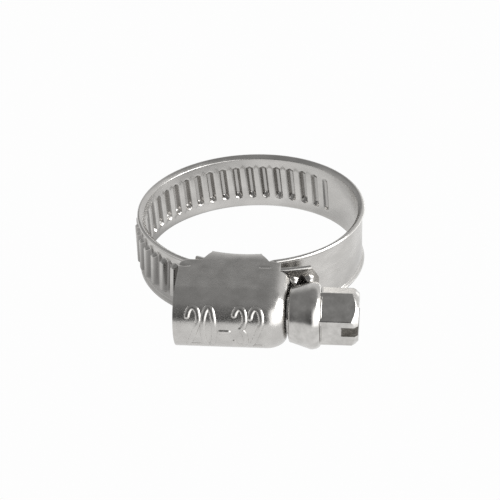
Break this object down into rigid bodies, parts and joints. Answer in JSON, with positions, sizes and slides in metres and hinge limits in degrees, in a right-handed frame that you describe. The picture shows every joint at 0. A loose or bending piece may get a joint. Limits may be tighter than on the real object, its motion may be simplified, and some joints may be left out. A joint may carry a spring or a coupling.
{
  "type": "hose clamp",
  "caption": "Worm-drive hose clamp: a toothed steel strip closed round a hose by a slotted hexagon screw in a pressed housing.",
  "frame": {"origin": "on the axis of the hose seat, at the middle of the strip's width", "axes": "+Z along the hose axis, the screw along X on the -Y side with its head towards +X"},
  "size_m": [0.0331, 0.0425, 0.011],
  "materials": {
    "strip_steel": "rolled stainless strip, fine lengthwise grain, rolled edges brighter",
    "housing_steel": "deep-drawn and tumbled stainless sheet, satin with fine speckle",
    "screw_steel": "cold-headed and rolled stainless, smooth semi-bright"
  },
  "bodies": {
    "housing": {"housing": "housing_steel", "band_fixed_end": "strip_steel"},
    "band_right": {"band_right_side": "strip_steel"},
    "band_back": {"band_back_left": "strip_steel"},
    "band_front_left": {"band_threaded_end": "strip_steel"},
    "screw": {"screw": "screw_steel"}
  },
  "joints": [
    {"name": "screw_turn", "type": "hinge", "parent": "housing", "child": "screw", "pos_m": [0, -0.02145, 0], "axis": [-1, 0, 0], "range_deg": [0, 720]},
    {"name": "band_bend_right", "type": "hinge", "parent": "housing", "child": "band_right", "pos_m": [0.01316, -0.0076, 0], "axis": [0, 0, 1], "range_deg": [0, 3.04]},
    {"name": "band_bend_back", "type": "hinge", "parent": "band_right", "child": "band_back", "pos_m": [-0.00016, 0.0152, 0], "axis": [0, 0, 1], "range_deg": [0, 6.19]},
    {"name": "band_bend_left", "type": "hinge", "parent": "band_back", "child": "band_front_left", "pos_m": [-0.01579, -0.00324, 0], "axis": [0, 0, 1], "range_deg": [0, 1.28]}
  ],
  "couplings": [
    {"joint": "band_bend_right", "follows": "screw_turn", "ratio": 0.0042176},
    {"joint": "band_bend_back", "follows": "screw_turn", "ratio": 0.0085951},
    {"joint": "band_bend_left", "follows": "screw_turn", "ratio": 0.0017726}
  ]
}
